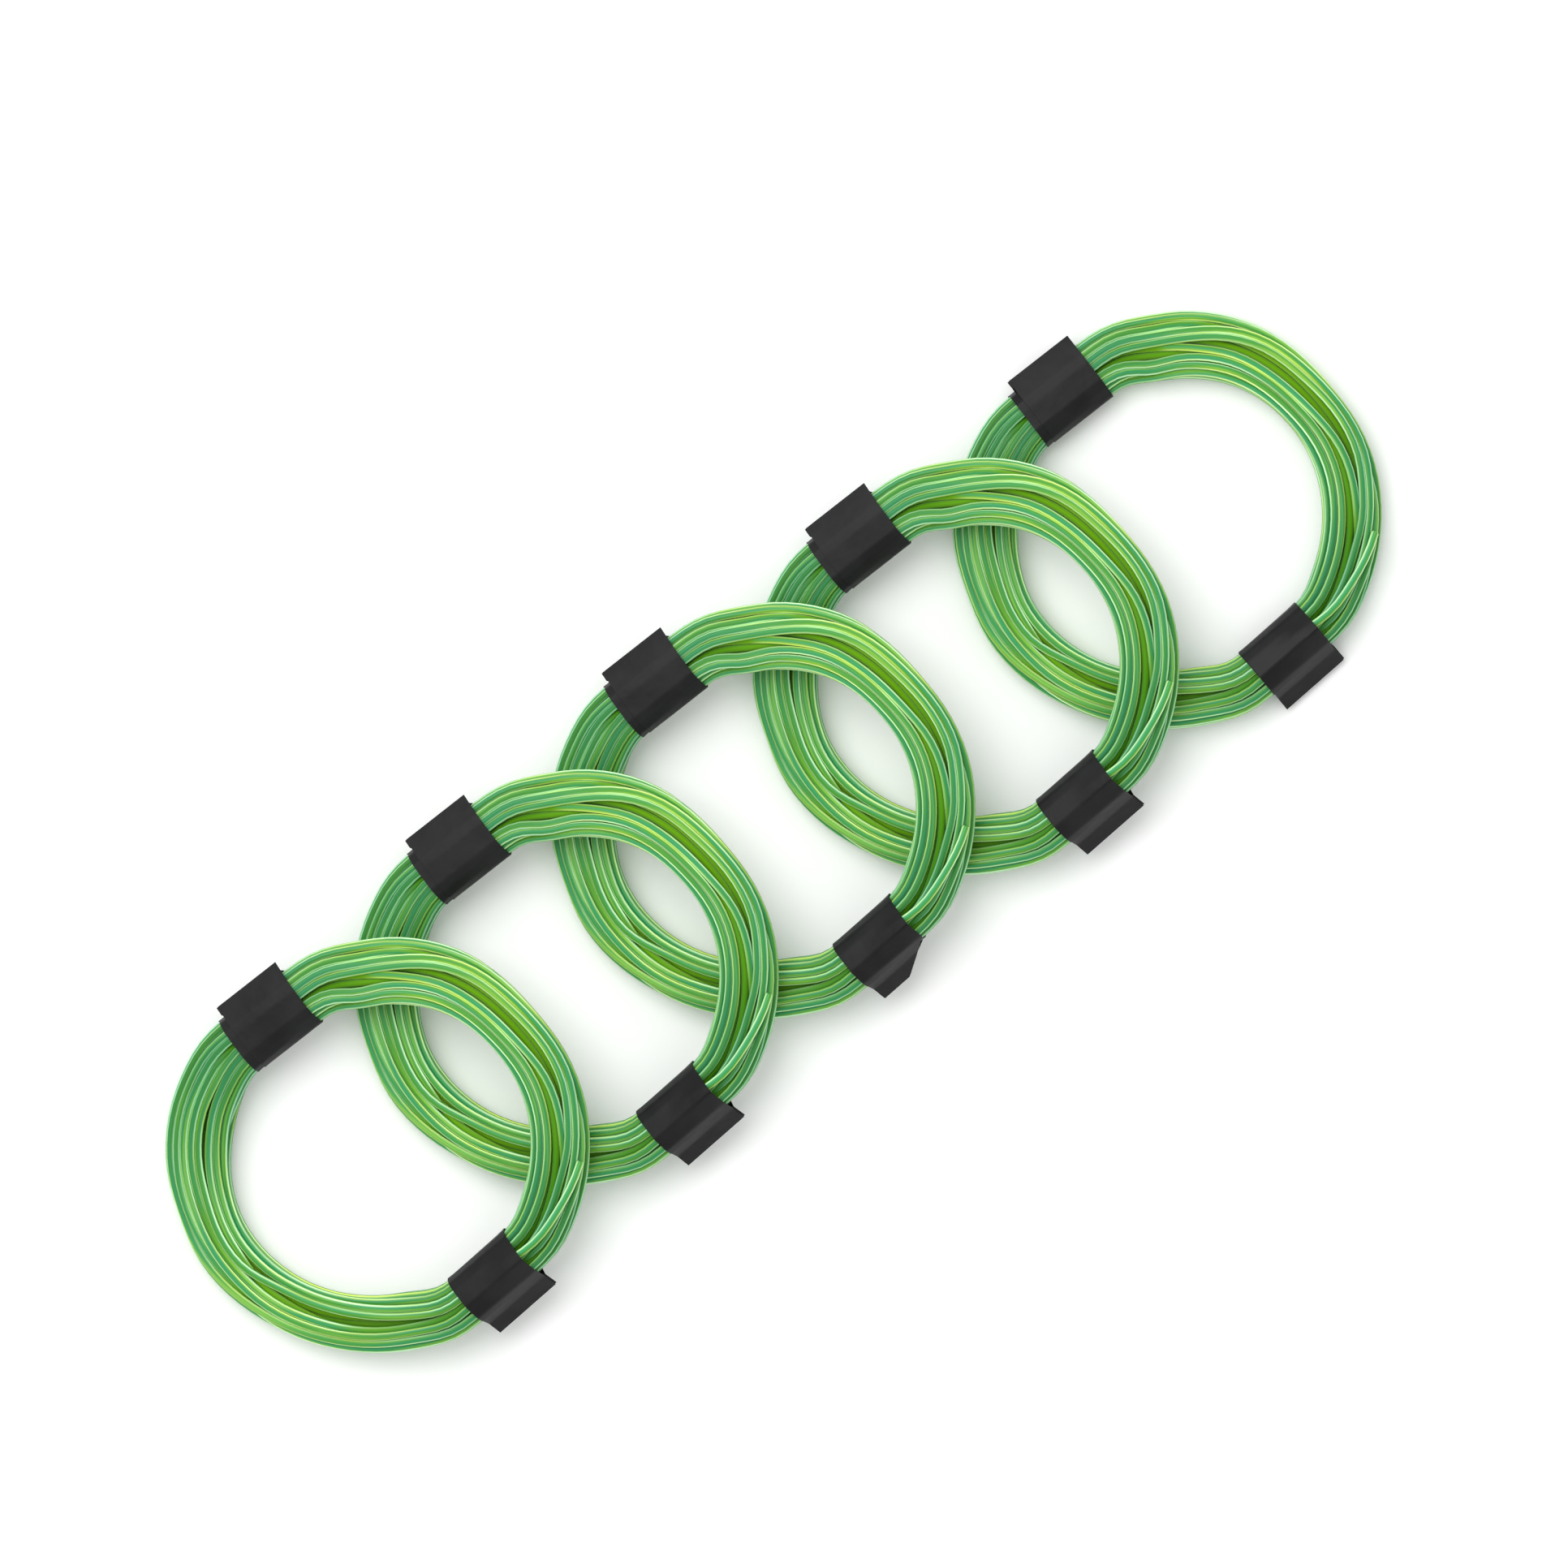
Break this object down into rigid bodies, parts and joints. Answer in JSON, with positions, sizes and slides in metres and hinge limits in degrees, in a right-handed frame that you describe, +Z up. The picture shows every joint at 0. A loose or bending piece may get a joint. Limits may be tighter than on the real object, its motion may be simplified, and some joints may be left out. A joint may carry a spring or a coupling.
{
  "type": "taped coils of strand",
  "caption": "Set of equal round coils of thin green strand, each held by two short wraps of black tape, laid in an overlapping row.",
  "frame": {"origin": "on the floor under the middle of the row", "axes": "+X along the row from the topmost coil to the bottom one, +Z up"},
  "size_m": [0.3606, 0.1142, 0.0274],
  "materials": {
    "green_strand": "translucent green coating over a darker core, streaked from teal to yellow-green",
    "black_tape": "satin black plastic film with soft wrinkles"
  },
  "bodies": {
    "coil_1": {"coil_1_strand": "green_strand", "coil_1_free_end": "green_strand", "coil_1_upper_tape": "black_tape", "coil_1_lower_tape": "black_tape"},
    "coil_2": {"coil_2_strand": "green_strand", "coil_2_free_end": "green_strand", "coil_2_upper_tape": "black_tape", "coil_2_lower_tape": "black_tape"},
    "coil_3": {"coil_3_strand": "green_strand", "coil_3_free_end": "green_strand", "coil_3_upper_tape": "black_tape", "coil_3_lower_tape": "black_tape"},
    "coil_4": {"coil_4_strand": "green_strand", "coil_4_free_end": "green_strand", "coil_4_upper_tape": "black_tape", "coil_4_lower_tape": "black_tape"},
    "coil_5": {"coil_5_strand": "green_strand", "coil_5_free_end": "green_strand", "coil_5_upper_tape": "black_tape", "coil_5_lower_tape": "black_tape"}
  },
  "joints": [
    {"name": "lift_coil_4", "type": "slide", "parent": "coil_5", "child": "coil_4", "axis": [0, 0, 1], "range_m": [0, 0.04]},
    {"name": "lift_coil_3", "type": "slide", "parent": "coil_4", "child": "coil_3", "axis": [0, 0, 1], "range_m": [0, 0.04]},
    {"name": "lift_coil_2", "type": "slide", "parent": "coil_3", "child": "coil_2", "axis": [0, 0, 1], "range_m": [0, 0.04]},
    {"name": "lift_coil_1", "type": "slide", "parent": "coil_2", "child": "coil_1", "axis": [0, 0, 1], "range_m": [0, 0.04]}
  ]
}
